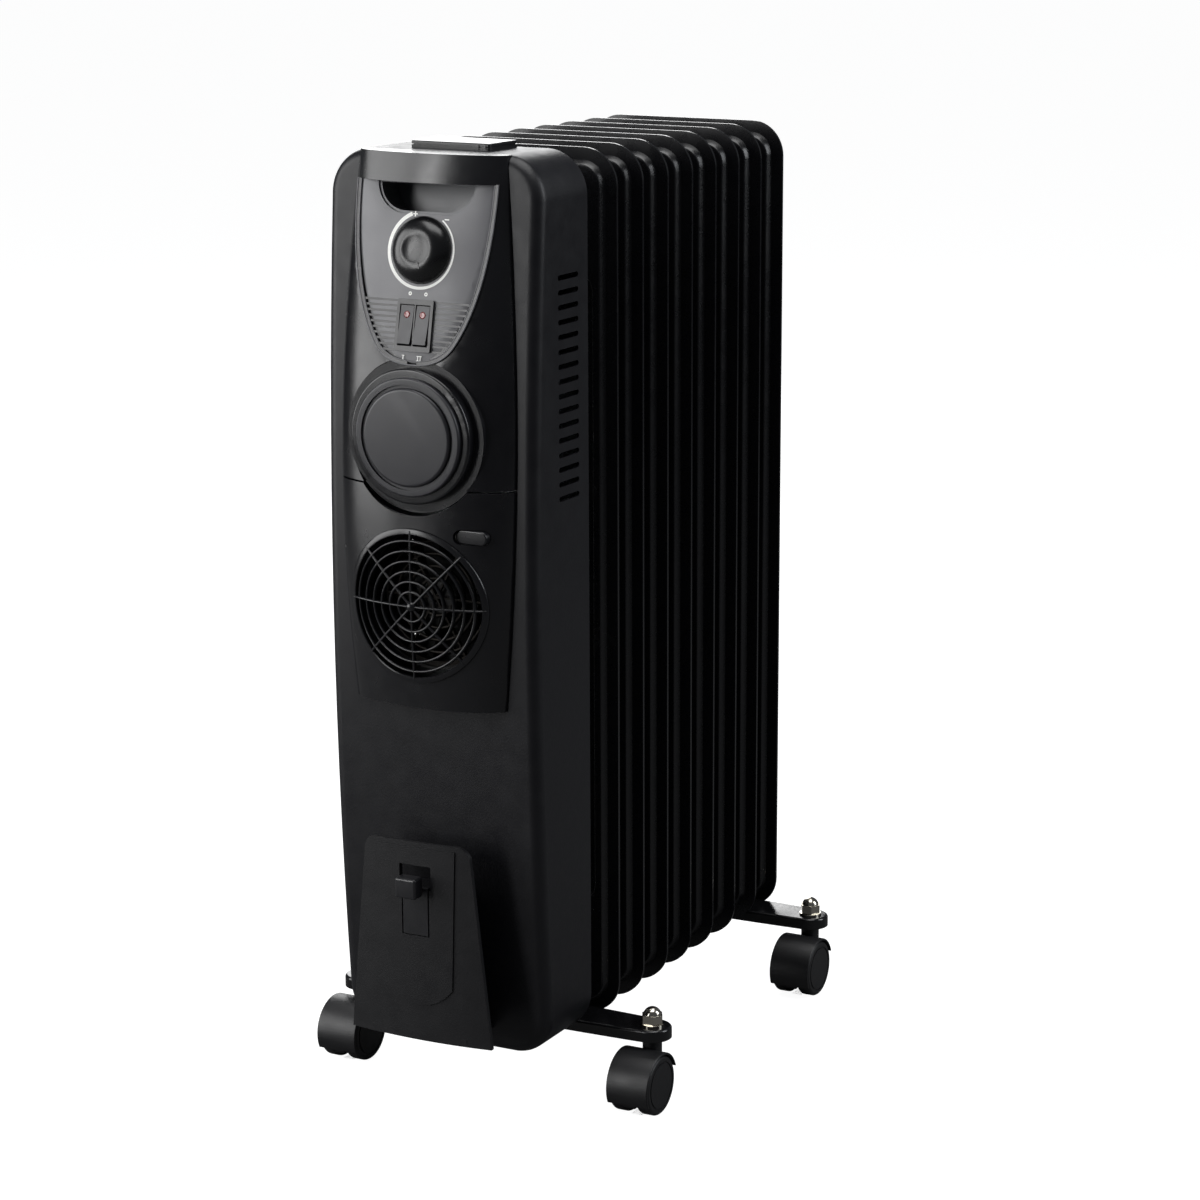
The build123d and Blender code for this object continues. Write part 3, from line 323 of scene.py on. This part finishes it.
# ---- fan grille: rings and spokes like a web, bent to the barrel front ----------------------
def web_grille():
    """Rings and spokes of oval bar, with a filleted knot at every crossing, bent to the barrel front."""
    tree, size, ports = tree_with("web_grille", {
        "Rings": ("Int", 6), "Spokes": ("Int", 8), "Hub": ("Float", 0.003), "Pitch": ("Float", 0.0065),
        "Bar": ("Float", 0.0019), "Depth": ("Float", 0.0034), "Knot": ("Float", 0.0015),
        "Reach": ("Float", 7.0)})
    # rings: one circle for each point of a line, scaled to its own radius
    line = add(tree, "GeometryNodeMeshLine", {"Offset": (0, 0, 0)}, {"Count": size["Rings"]})
    index = add(tree, "GeometryNodeInputIndex").outputs[0]
    number = add(tree, "ShaderNodeMath", {"operation": "ADD", 1: 1.0}, {0: index})
    radius = add(tree, "ShaderNodeMath", {"operation": "MULTIPLY_ADD"},
                 {0: number.outputs[0], 1: size["Pitch"], 2: size["Hub"]})
    circle = add(tree, "GeometryNodeCurvePrimitiveCircle", {"Resolution": 96, "Radius": 1.0})
    rings = add(tree, "GeometryNodeInstanceOnPoints", {},
                {"Points": line.outputs[0], "Instance": circle.outputs[0], "Scale": radius.outputs[0]})
    # spokes: one straight bar turned about the hub
    fan = add(tree, "GeometryNodeMeshLine", {"Offset": (0, 0, 0)}, {"Count": size["Spokes"]})
    share = add(tree, "ShaderNodeMath", {"operation": "DIVIDE", 0: 2 * pi}, {1: size["Spokes"]})
    angle = add(tree, "ShaderNodeMath", {"operation": "MULTIPLY"}, {0: index, 1: share.outputs[0]})
    facing = add(tree, "ShaderNodeCombineXYZ", {}, {"Z": angle.outputs[0]})
    reach = add(tree, "ShaderNodeMath", {"operation": "MULTIPLY_ADD"},
                {0: size["Pitch"], 1: size["Reach"], 2: size["Hub"]})
    inner_end = add(tree, "ShaderNodeCombineXYZ", {}, {"X": size["Hub"]})
    outer_end = add(tree, "ShaderNodeCombineXYZ", {}, {"X": reach.outputs[0]})
    spoke = add(tree, "GeometryNodeCurvePrimitiveLine", {},
                {"Start": inner_end.outputs[0], "End": outer_end.outputs[0]})
    finer = add(tree, "GeometryNodeResampleCurve", {"Count": 24}, {"Curve": spoke.outputs[0]})
    spokes = add(tree, "GeometryNodeInstanceOnPoints", {},
                 {"Points": fan.outputs[0], "Instance": finer.outputs[0], "Rotation": facing.outputs[0]})
    both = add(tree, "GeometryNodeJoinGeometry", {}, {"Geometry": rings.outputs[0]})
    tree.links.new(spokes.outputs[0], both.inputs[0])
    laid = add(tree, "GeometryNodeRealizeInstances", links={"Geometry": both.outputs[0]})
    upright = add(tree, "GeometryNodeSetCurveNormal", {"mode": "Z_UP"}, {"Curve": laid.outputs[0]})
    profile = add(tree, "GeometryNodeCurvePrimitiveCircle", {"Resolution": 12, "Radius": 0.5})
    shape = add(tree, "ShaderNodeCombineXYZ", {"Z": 1.0}, {"X": size["Bar"], "Y": size["Depth"]})
    bar = add(tree, "GeometryNodeTransform", {}, {"Geometry": profile.outputs[0], "Scale": shape.outputs[0]})
    web = add(tree, "GeometryNodeCurveToMesh", {"Fill Caps": True},
              {"Curve": upright.outputs[0], "Profile Curve": bar.outputs[0]})
    # knots: a small ball where each ring meets each spoke
    first = add(tree, "ShaderNodeMath", {"operation": "ADD"}, {0: size["Hub"], 1: size["Pitch"]})
    first_at = add(tree, "ShaderNodeCombineXYZ", {}, {"X": first.outputs[0]})
    next_at = add(tree, "ShaderNodeCombineXYZ", {}, {"X": size["Pitch"]})
    row = add(tree, "GeometryNodeMeshLine", {},
              {"Count": size["Rings"], "Start Location": first_at.outputs[0], "Offset": next_at.outputs[0]})
    ball = add(tree, "GeometryNodeMeshIcoSphere", {"Subdivisions": 3}, {"Radius": size["Knot"]})
    row_of = add(tree, "GeometryNodeInstanceOnPoints", {},
                 {"Points": row.outputs[0], "Instance": ball.outputs[0]})
    knots = add(tree, "GeometryNodeInstanceOnPoints", {},
                {"Points": fan.outputs[0], "Instance": row_of.outputs[0], "Rotation": facing.outputs[0]})
    whole = add(tree, "GeometryNodeJoinGeometry", {}, {"Geometry": web.outputs[0]})
    tree.links.new(knots.outputs[0], whole.inputs[0])
    smooth = add(tree, "GeometryNodeSetShadeSmooth", {}, {"Geometry": whole.outputs[0]})
    close_tree(tree, smooth.outputs[0], gloss_abs)
    piece = grown("web_grille", tree, ports, {"Rings": 6, "Spokes": 8})
    hub = bmesh.new()
    hub.from_mesh(piece.data)
    bmesh.ops.create_uvsphere(hub, u_segments=32, v_segments=10, radius=0.0036)
    for vertex in hub.verts:
        x, flat, lift = vertex.co.x / MM, vertex.co.y / MM, vertex.co.z / MM
        z = FAN_Z + flat
        vertex.co = Vector((x, fascia_front(x, z) - lift - 0.1, z)) * MM
    for face in hub.faces:
        face.smooth = True
        face.material_index = 0
    bmesh.ops.recalc_face_normals(hub, faces=hub.faces)
    hub.to_mesh(piece.data)
    hub.free()
    piece.data.materials.clear()
    piece.data.materials.append(gloss_abs)
    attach(piece, "radiator")


def grille_rim():
    """Solid ring round the web, a rounded step proud of the fascia."""
    around = 128
    rows = [(45.9, -1.6), (45.9, 0.9), (46.4, 1.5), (48.9, 1.5), (49.5, 1.2), (49.7, 0.6), (49.7, -1.6)]
    points, faces = [], []
    for i in range(around):
        turn = 2 * pi * i / around
        for radius, lift in rows:
            x, z = radius * cos(turn), FAN_Z + radius * sin(turn)
            points.append((x, fascia_front(x, z) - lift, z))
    n = len(rows)
    for i in range(around):
        for k in range(n):
            j = (i + 1) % around
            faces.append((i * n + k, j * n + k, j * n + (k + 1) % n, i * n + (k + 1) % n))
    rim = mesh_piece("grille_rim", points, faces, gloss_abs, "radiator", smooth=True)
    rim.data.set_sharp_from_angle(angle=radians(40))
    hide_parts("fan_grille")


def duct_shade_disc():
    """Painted shade: a dark pressed disc behind the fan motor, which keeps the inside of the duct dark."""
    rows = ((0, 0.0), (30, 0.0), (34, 1.4), (SHADE_DISC_RADIUS, 1.4), (SHADE_DISC_RADIUS, 2.2), (33.6, 2.2),
            (29.6, 0.8), (0, 0.8))
    around, count = 64, len(rows)
    points, faces = [], []
    for i in range(around):
        turn = 2 * pi * i / around
        for radius, back in rows:
            points.append((radius * cos(turn), SHADE_DISC_Y + back, FAN_Z + radius * sin(turn)))
        j = (i + 1) % around
        for k in range(count - 1):
            faces.append((i * count + k, j * count + k, j * count + k + 1, i * count + k + 1))
    shade_disc = mesh_piece("duct_shade_disc", points, faces, duct_plastic_and_inner_shade, "radiator",
                        smooth=True)
    shade_disc.data.set_sharp_from_angle(angle=radians(40))


# ---- printed marks on the shield ------------------------------------------------------------
# Pad-printed white ink: flat, bright and slightly chalky.
ink = moulded("white_ink", "#f2f2ee", 0.5, grain_mm=0.5, grain=0.1, tint=0.03)
KNOB_Z = BASE + 521.0       # dial's axis
SWITCH_Z = BASE + 475.5     # middle of the switch
POINTER_TURN = radians(18)  # of the dial's pointer, from straight down
INK_LIFT = SHIELD_FACE + 0.08


def printed_marks():
    """Tapering ring round the dial, plus and minus, two rings and the two switch numerals."""
    points, faces = [], []

    def strip(outline):
        first = len(points)
        for x, z in outline:
            points.append(on_shield(x, z, INK_LIFT))
        faces.append(tuple(range(first, len(points))))

    def bar(x, z, width, height):
        strip([(x - width / 2, z - height / 2), (x + width / 2, z - height / 2),
               (x + width / 2, z + height / 2), (x - width / 2, z + height / 2)])

    def arc(cx, cz, inner, outer, begin, end, steps):
        for i in range(steps):
            a, b = (radians(begin + (end - begin) * k / steps) for k in (i, i + 1))
            wa, wb = (outer(k / steps) for k in (i, i + 1))
            strip([(cx + inner * cos(a), cz + inner * sin(a)), (cx + wa * cos(a), cz + wa * sin(a)),
                   (cx + wb * cos(b), cz + wb * sin(b)), (cx + inner * cos(b), cz + inner * sin(b))])

    arc(0, KNOB_Z, 22.0, lambda k: 24.4 - 1.4 * k ** 1.3, 112, 415, 90)
    bar(-6.6, KNOB_Z + 21.5, 3.2, 0.8)
    bar(-6.6, KNOB_Z + 21.5, 0.8, 3.2)
    bar(16.0, KNOB_Z + 19.0, 3.2, 0.7)
    for x in (-5.4, 5.8):
        arc(x, KNOB_Z - 26.3, 0.5, lambda k: 1.2, 0, 360, 20)
    numeral_z = SWITCH_Z - 19.6
    for x in (-6.6, 3.9, 5.7):
        bar(x, numeral_z, 0.55, 2.8)
    for x, width in ((-6.6, 1.8), (4.8, 3.6)):
        bar(x, numeral_z + 1.4, width, 0.5)
        bar(x, numeral_z - 1.4, width, 0.5)
    mesh_piece("printed_marks", points, faces, ink, "radiator")


# ---- dial: a low dome with a shallow dish and a small pointer -------------------------------
def dial_cap():
    """Turned about the dial's own axis, which stands square to the shield."""
    rows = [(0, 7.3), (4, 7.35), (6.6, 7.55), (8.2, 7.9), (9.4, 8.15), (10.6, 8.2), (12.6, 7.85), (14.8, 7.0),
            (17.0, 5.7), (18.9, 3.9), (20.2, 2.0), (20.9, 0.5), (20.9, 0.1), (0, 0.1)]
    foot, around = SHIELD_FACE + 0.15, 96
    points, faces = [], []
    for i in range(around):
        turn = 2 * pi * i / around
        for radius, lift in rows:
            points.append(on_shield(radius * cos(turn), KNOB_Z + radius * sin(turn) * cos(LEAN), foot + lift))
    count = len(rows)
    for i in range(around):
        j = (i + 1) % around
        for k in range(count - 1):
            faces.append((i * count + k, j * count + k, j * count + k + 1, i * count + k + 1))
    across = Vector((cos(POINTER_TURN), sin(POINTER_TURN)))
    along = Vector((sin(POINTER_TURN), -cos(POINTER_TURN)))
    base = len(points)
    for lift in (7.4, 8.75):
        for side, reach in ((-0.45, 8.6), (0.45, 8.6), (0.45, 12.6), (-0.45, 12.6)):
            spot = across * side + along * reach
            sink = 0.55 if lift > 8 and reach > 10 else 0.0
            points.append(on_shield(spot.x, KNOB_Z + spot.y * cos(LEAN), foot + lift - sink))
    for quad in ((0, 1, 2, 3), (4, 5, 6, 7), (0, 1, 5, 4), (1, 2, 6, 5), (2, 3, 7, 6), (3, 0, 4, 7)):
        faces.append(tuple(base + corner for corner in quad))
    dial = mesh_piece("dial_cap", points, faces, dial_abs, "dial", smooth=True)
    dial.data.set_sharp_from_angle(angle=radians(45))
    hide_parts("knob")


# ---- shield outline: two beads along the edge where its plane leaves the barrel front --------
def shield_edge(z):
    """Half width of the shield at a height."""
    near, far = 0.0, 60.0
    plane_y = on_shield(0, z).y
    if fascia_front(0, z) > plane_y:
        return 0.0
    for _ in range(40):
        middle = (near + far) / 2
        if fascia_front(middle, z) < plane_y:
            near = middle
        else:
            far = middle
    return near


BOSS_Z = BASE + 407.7       # round boss under the shield
BOSS_RADIUS = 42.8
TIP_GAP = 0.6               # between the shield's tip and the boss


def shield_outline():
    """The right half of the outline from the band down to the tip."""
    heights = []
    z = SHIELD_TOP
    while shield_edge(z) > 16.0 and z > BOSS_Z + BOSS_RADIUS + 14.0:
        heights.append(z)
        z -= 2.0
    side = [(shield_edge(z), z) for z in heights]
    (near_x, near_z), (last_x, last_z) = side[-4], side[-1]
    foot = BOSS_Z + BOSS_RADIUS + TIP_GAP
    corner = max(last_x + (near_x - last_x) / (near_z - last_z) * (foot - last_z), 1.5)
    for k in range(1, 13):
        t = k / 12
        side.append(((1 - t) ** 2 * last_x + 2 * t * (1 - t) * corner,
                     (1 - t) ** 2 * last_z + (2 * t * (1 - t) + t * t) * foot))
    return side


def inset(side, amount):
    """The outline moved inwards by an amount."""
    moved = []
    for i, (x, z) in enumerate(side):
        ax, az = side[max(i - 1, 0)]
        bx, bz = side[min(i + 1, len(side) - 1)]
        length = max(sqrt((bx - ax) ** 2 + (bz - az) ** 2), 1e-6)
        moved.append((x + (bz - az) / length * amount, z - (bx - ax) / length * amount))
    return [point for point in moved if point[0] >= -0.01]


def both_sides(side):
    """A right half outline with its mirror image, from one top corner to the other."""
    return [(-x, z) for x, z in side] + [(x, z) for x, z in reversed(side)]


def bead(name, path, radius, material, lift):
    """A round bead along a path on the shield."""
    tree, size, ports = tree_with("bead_along_path", {
        "Path": ("Geometry", None), "Radius": ("Float", 0.0005), "Sides": ("Int", 10)})
    curve = add(tree, "GeometryNodeMeshToCurve", {}, {"Mesh": size["Path"]})
    profile = add(tree, "GeometryNodeCurvePrimitiveCircle", {},
                  {"Radius": size["Radius"], "Resolution": size["Sides"]})
    tube = add(tree, "GeometryNodeCurveToMesh", {"Fill Caps": True},
               {"Curve": curve.outputs[0], "Profile Curve": profile.outputs[0]})
    smooth = add(tree, "GeometryNodeSetShadeSmooth", {}, {"Geometry": tube.outputs[0]})
    close_tree(tree, smooth.outputs[0], material)
    holder = bpy.data.objects.new(name, bpy.data.meshes.new(name))
    bpy.context.collection.objects.link(holder)
    spots = [on_shield(x, z, lift) * MM for x, z in path]
    holder.data.from_pydata(spots, [(i, i + 1) for i in range(len(spots) - 1)], [])
    maker = holder.modifiers.new(name, "NODES")
    maker.node_group = tree
    maker[ports["Radius"]] = radius * MM
    bpy.context.view_layer.update()
    mesh = bpy.data.meshes.new_from_object(holder.evaluated_get(bpy.context.evaluated_depsgraph_get()))
    holder.modifiers.remove(maker)
    holder.data = mesh
    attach(holder, "radiator")


def shield_trim():
    """Two beads round the shield, with a flat dark strip between them as painted shade for the groove."""
    side = shield_outline()
    bead("shield_bead_outer", both_sides(inset(side, 0.5)), 0.55, graphite_abs, SHIELD_FACE - 0.1)
    bead("shield_bead_inner", both_sides(inset(side, 2.9)), 0.45, graphite_abs, SHIELD_FACE - 0.1)
    outer, inner = inset(side, 0.9), inset(side, 2.5)
    points, faces = [], []
    for sign in (-1, 1):
        for k in range(min(len(outer), len(inner)) - 1):
            first = len(points)
            quad = (outer[k], outer[k + 1], inner[k + 1], inner[k])
            points.extend(on_shield(sign * x, z, SHIELD_FACE + 0.05) for x, z in quad)
            faces.append((first, first + 1, first + 2, first + 3))
    # Painted shade: the groove between the beads is a flat dark strip.
    mesh_piece("shield_groove_painted_shade", points, faces, satin_abs_and_groove_shade, "radiator")


SLOT_COUNT = 10
SLOT_TOP = 14.6             # top slot above the switch's middle
SLOT_PITCH = 3.3
SLOT_WIDTH = 1.3
SLOT_START = 13.2           # from the middle of the shield


def shield_slots_painted_shade():
    """Painted shade: flat dark strips either side of the switch where the grooves lie, cut to the shield's
    outline.
    """
    side = shield_outline()
    edge = inset(side, 4.0)
    points, faces = [], []
    for i in range(SLOT_COUNT):
        z = SWITCH_Z + SLOT_TOP - i * SLOT_PITCH
        reach = max([x for x, height in edge if abs(height - z) < 2.4] or [0])
        if reach < SLOT_START + 1.3:
            continue
        for sign in (-1, 1):
            near, far = sign * SLOT_START, sign * reach
            first = len(points)
            low, high = z - SLOT_WIDTH / 2, z + SLOT_WIDTH / 2
            for x, height in ((near, low), (far, low), (far, high), (near, high)):
                points.append(on_shield(x, height, SHIELD_FACE + 0.05))
            faces.append((first, first + 1, first + 2, first + 3))
    mesh_piece("shield_slots_painted_shade", points, faces, satin_abs_and_groove_shade, "radiator")


# ---- finishes -------------------------------------------------------------------------------
# Each node's finish, and how far its edges are eased, in metres.
finishes = {
    "casing": (casing_paint, 0.0), "upper_fascia": (gloss_abs, 0.0008), "lower_fascia": (gloss_abs, 0.0009),
    "handle_cup": (cup_abs_painted_shade, 0.0), "plaque": (graphite_abs, 0.0002),
    "timer_blank": (disc_abs, 0.0), "fan_button": (gloss_abs, 0.0008),
    "switch_body": (satin_abs_and_groove_shade, 0.0003), "rocker_left": (disc_abs, 0.0003), "rocker_right": (disc_abs, 0.0003),
    "lamp_left": (red_lens, 0.0), "lamp_right": (red_lens, 0.0), "cord_tidy": (soft_abs, 0.0008),
    "cord_clip": (clip_abs, 0.0012), "top_cover": (satin_abs_and_groove_shade, 0.0003),
    "foot_bracket_front": (bracket_paint, 0.0), "foot_bracket_rear": (bracket_paint, 0.0),
    "cap_nuts": (nickel, 0.0003), "stem_washers": (nickel, 0.0001),
    "castor_stems": (zinc, 0.0003), "u_bolts": (zinc, 0.0), "wing_nuts": (zinc, 0.0003),
    "casing_screws": (zinc, 0.0), "header_nuts": (zinc, 0.0003), "heat_shield": (galvanised, 0.0),
    "carrier_panel": (galvanised, 0.0), "fan_duct": (duct_plastic_and_inner_shade, 0.0), "coil_heater": (wire, 0.0),
    # The fan motor takes the duct's matt black as painted shade.
    "impeller": (fan_plastic, 0.0), "fan_motor": (duct_plastic_and_inner_shade, 0.0), "cord_gland": (soft_abs, 0.0003),
    "thermostat_body": (soft_abs, 0.0), "thermostat_shaft": (zinc, 0.0), "thermal_cutout": (soft_abs, 0.0),
    "tip_switch_body": (soft_abs, 0.0), "tip_pendulum": (zinc, 0.0), "heating_element": (zinc, 0.0),
}
for index in range(8):
    finishes["section_%d" % (index + 1)] = (section_paint, 0.0)
for node in frame["nodes"]:
    if node.startswith("castor_hood") or node.startswith("wheel_"):
        finishes[node] = (castor_nylon, 0.0003)
for node, (material, bevel) in finishes.items():
    refined(node, material, bevel=bevel)
web_grille()
grille_rim()
duct_shade_disc()
dial_cap()
printed_marks()
shield_trim()
shield_slots_painted_shade()


# ---- floor, light and camera ----------------------------------------------------------------
def studio_floor():
    """Pale paper floor: bright behind the heater, dim in its reflections."""
    material, tree = start("studio_floor")
    ray = add(tree, "ShaderNodeLightPath").outputs["Is Camera Ray"]
    dim = add(tree, "ShaderNodeBsdfDiffuse", {"Color": (0.12, 0.12, 0.12, 1.0)})
    lit = add(tree, "ShaderNodeBsdfDiffuse", {"Color": (0.3, 0.3, 0.3, 1.0)})
    glow = add(tree, "ShaderNodeEmission", {"Color": (1, 1, 1, 1), "Strength": 0.95})
    bright = add(tree, "ShaderNodeAddShader", {}, {0: lit.outputs[0], 1: glow.outputs[0]})
    both = add(tree, "ShaderNodeMixShader", {}, {0: ray, 1: dim.outputs[0], 2: bright.outputs[0]})
    add(tree, "ShaderNodeOutputMaterial", links={"Surface": both.outputs[0]})
    mesh = bpy.data.meshes.new("studio_floor")
    far = 30.0
    mesh.from_pydata([(-far, -far, 0), (far, -far, 0), (far, far, 0), (-far, far, 0)], [], [(0, 1, 2, 3)])
    mesh.materials.append(material)
    floor = bpy.data.objects.new("studio_floor", mesh)
    bpy.context.collection.objects.link(floor)


def softbox(name, place, target, width, height, power, tone=(1, 1, 1)):
    """A rectangular light at a place, aimed at a target, unseen by the camera itself."""
    light = bpy.data.lights.new(name, "AREA")
    light.shape = "RECTANGLE"
    light.size = width
    light.size_y = height
    light.energy = power
    light.color = tone
    lamp = bpy.data.objects.new(name, light)
    bpy.context.collection.objects.link(lamp)
    aim = Vector(target) - Vector(place)
    lamp.matrix_world = Matrix.Translation(place) @ aim.to_track_quat("-Z", "Y").to_matrix().to_4x4()
    lamp.visible_camera = False


studio_floor()
softbox("key_front_left", (-2.0, -1.4, 0.9), (0, -0.1, 0.38), 1.6, 2.0, 46.0)
softbox("overhead", (0.1, -0.2, 2.4), (0, 0.0, 0.5), 1.6, 1.8, 40.0)
softbox("side_right", (2.3, 0.8, 1.5), (0, 0.0, 0.45), 1.0, 1.6, 34.0, (0.93, 0.96, 1.0))
softbox("fill_front", (-1.25, -2.5, 1.1), (0, 0.0, 0.42), 0.5, 1.8, 26.0)
softbox("rear_left", (-1.5, 2.2, 1.3), (0, 0.1, 0.35), 1.4, 1.8, 34.0)

# The room: white where the camera sees it, dim in what it lights.
world = bpy.data.worlds.new("studio")
bpy.context.scene.world = world
world.use_nodes = True
tree = world.node_tree
tree.nodes.clear()
ray = add(tree, "ShaderNodeLightPath").outputs["Is Camera Ray"]
dark = add(tree, "ShaderNodeBackground", {"Color": (0.9, 0.95, 1.0, 1.0), "Strength": 0.10})
white = add(tree, "ShaderNodeBackground", {"Color": (1, 1, 1, 1), "Strength": 1.0})
mixed = add(tree, "ShaderNodeMixShader", {}, {0: ray, 1: dark.outputs[0], 2: white.outputs[0]})
add(tree, "ShaderNodeOutputWorld", links={"Surface": mixed.outputs[0]})

# The camera stands a little above the heater, in front and to its right.
azimuth, elevation, roll = radians(25.2548), radians(13.4081), radians(0.4279)
back = Vector((sin(azimuth) * cos(elevation), -cos(azimuth) * cos(elevation), sin(elevation)))
side = Vector((cos(azimuth), sin(azimuth), 0))
up = back.cross(side)
turned_side = side * cos(roll) + up * sin(roll)
turned_up = up * cos(roll) - side * sin(roll)
camera_data = bpy.data.cameras.new("camera")
camera_data.sensor_width = 36.0
camera_data.lens = 94.254
camera_data.shift_x = -0.12911
camera_data.shift_y = 0.01361
camera_data.clip_end = 100.0
camera = bpy.data.objects.new("camera", camera_data)
bpy.context.collection.objects.link(camera)
camera.matrix_world = Matrix.Translation((1.00845, -1.82366, 0.80115)) @ Matrix(
    (turned_side, turned_up, back)).transposed().to_4x4()
bpy.context.scene.camera = camera
bpy.context.scene.view_settings.view_transform = "Standard"
